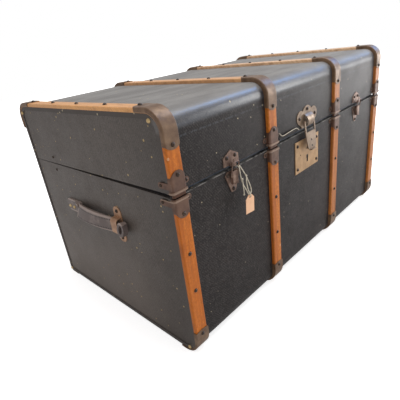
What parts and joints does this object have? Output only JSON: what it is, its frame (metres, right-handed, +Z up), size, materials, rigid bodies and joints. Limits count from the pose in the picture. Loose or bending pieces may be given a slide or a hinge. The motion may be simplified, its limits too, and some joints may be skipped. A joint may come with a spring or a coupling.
{
  "type": "steamer trunk",
  "caption": "Wood-slatted, canvas-covered travel trunk with a hinged lid, pressed corner caps, a hasp lock, draw latches and leather end handles.",
  "frame": {"origin": "on the floor, under the middle of the case", "axes": "+X along the length, -Y is the front with the lock and latches, +Z up"},
  "size_m": [0.9628, 0.5853, 0.5182],
  "materials": {
    "front_canvas": "black oiled canvas glued over plywood, satin, worn grey",
    "end_canvas": "black oiled canvas over flat board, matt, rubbed",
    "paper_lining": "aged lining paper",
    "tongue_wood": "dark stained wood",
    "slat_wood": "honey-coloured varnished hardwood, scuffed",
    "cap_steel": "bronze-lacquered pressed steel, worn",
    "clasp_steel": "bronze-lacquered pressed steel with bright rubbed rims",
    "nail_steel": "browned steel",
    "nail_brass": "tarnished brass",
    "hinge_steel": "browned steel",
    "lock_brass": "tarnished antique brass",
    "lock_steel": "dark steel",
    "hasp_steel": "brass-washed steel, rubbed and spotted",
    "latch_steel": "browned steel",
    "bridge_steel": "rusty steel",
    "handle_leather": "dark brown stitched leather, edges rubbed pale",
    "tag_card": "blank manila card",
    "string_cotton": "cream cotton string"
  },
  "bodies": {
    "base": {"base_back_irons": "cap_steel", "base_brass_nails": "nail_brass", "base_cap_1": "cap_steel", "base_cap_2": "cap_steel", "base_cap_3": "cap_steel", "base_cap_4": "cap_steel", "base_clasps": "clasp_steel", "base_left_end": "end_canvas", "base_lining": "paper_lining", "base_nails": "nail_steel", "base_right_end": "end_canvas", "base_slat_1": "slat_wood", "base_slat_2": "slat_wood", "base_slat_3": "slat_wood", "base_slat_4": "slat_wood", "base_tongue": "tongue_wood", "base_wrap": "front_canvas", "hinge_base_leaves": "hinge_steel", "hinge_pins": "hinge_steel", "latch_base_plates": "latch_steel", "left_handle_bridge": "bridge_steel", "left_handle_keeper": "handle_leather", "lock_case": "lock_steel", "lock_plate": "lock_brass", "right_handle_bridge": "bridge_steel", "right_handle_keeper": "handle_leather"},
    "lid": {"hasp_hood": "hasp_steel", "hasp_plate": "hasp_steel", "hinge_lid_leaves": "hinge_steel", "latch_lid_plates": "latch_steel", "lid_back_caps": "cap_steel", "lid_brass_nails": "nail_brass", "lid_clasps": "clasp_steel", "lid_front_cap_1": "cap_steel", "lid_front_cap_2": "cap_steel", "lid_front_cap_3": "cap_steel", "lid_front_cap_4": "cap_steel", "lid_left_end": "end_canvas", "lid_lining": "paper_lining", "lid_nails": "nail_steel", "lid_right_end": "end_canvas", "lid_slat_1": "slat_wood", "lid_slat_2": "slat_wood", "lid_slat_3": "slat_wood", "lid_slat_4": "slat_wood", "lid_wrap": "front_canvas"},
    "hasp": {"hasp": "hasp_steel"},
    "lock_bolt": {"lock_bolt": "lock_steel"},
    "left_lever": {"left_latch_lever": "latch_steel"},
    "left_bail": {"left_latch_bail": "latch_steel", "string_left": "string_cotton", "string_right": "string_cotton", "string_inner": "string_cotton", "string_tail": "string_cotton", "string_knots": "string_cotton", "price_tag": "tag_card"},
    "right_lever": {"right_latch_lever": "latch_steel"},
    "right_bail": {"right_latch_bail": "latch_steel"},
    "left_grip": {"left_handle_grip": "handle_leather"},
    "right_grip": {"right_handle_grip": "handle_leather"}
  },
  "joints": [
    {"name": "lid_hinge", "type": "hinge", "parent": "base", "child": "lid", "pos_m": [0, 0.275, 0.3623], "axis": [-1, 0, 0], "range_deg": [-0.73, 105]},
    {"name": "hasp_pivot", "type": "hinge", "parent": "lid", "child": "hasp", "pos_m": [0.0035, -0.27723, 0.38669], "axis": [-1, 0, 0], "range_deg": [0, 120]},
    {"name": "lock_bolt_slide", "type": "slide", "parent": "base", "child": "lock_bolt", "axis": [1, 0, 0], "range_m": [0, 0.008]},
    {"name": "left_lever_pivot", "type": "hinge", "parent": "base", "child": "left_lever", "pos_m": [-0.2955, -0.2765, 0.357], "axis": [-1, 0, 0], "range_deg": [0, 105]},
    {"name": "left_bail_pivot", "type": "hinge", "parent": "left_lever", "child": "left_bail", "pos_m": [-0.2955, -0.278, 0.348], "axis": [-1, 0, 0], "range_deg": [-105, 0]},
    {"name": "left_handle_turn", "type": "hinge", "parent": "base", "child": "left_grip", "pos_m": [-0.4645, 0, 0.26], "axis": [0, 1, 0], "range_deg": [0, 8]},
    {"name": "right_lever_pivot", "type": "hinge", "parent": "base", "child": "right_lever", "pos_m": [0.2955, -0.2765, 0.357], "axis": [-1, 0, 0], "range_deg": [0, 105]},
    {"name": "right_bail_pivot", "type": "hinge", "parent": "right_lever", "child": "right_bail", "pos_m": [0.2955, -0.278, 0.348], "axis": [-1, 0, 0], "range_deg": [-105, 0]},
    {"name": "right_handle_turn", "type": "hinge", "parent": "base", "child": "right_grip", "pos_m": [0.4645, 0, 0.26], "axis": [0, -1, 0], "range_deg": [0, 8]}
  ],
  "couplings": [
    {"joint": "left_bail_pivot", "follows": "left_lever_pivot", "ratio": -1},
    {"joint": "right_bail_pivot", "follows": "right_lever_pivot", "ratio": -1}
  ]
}
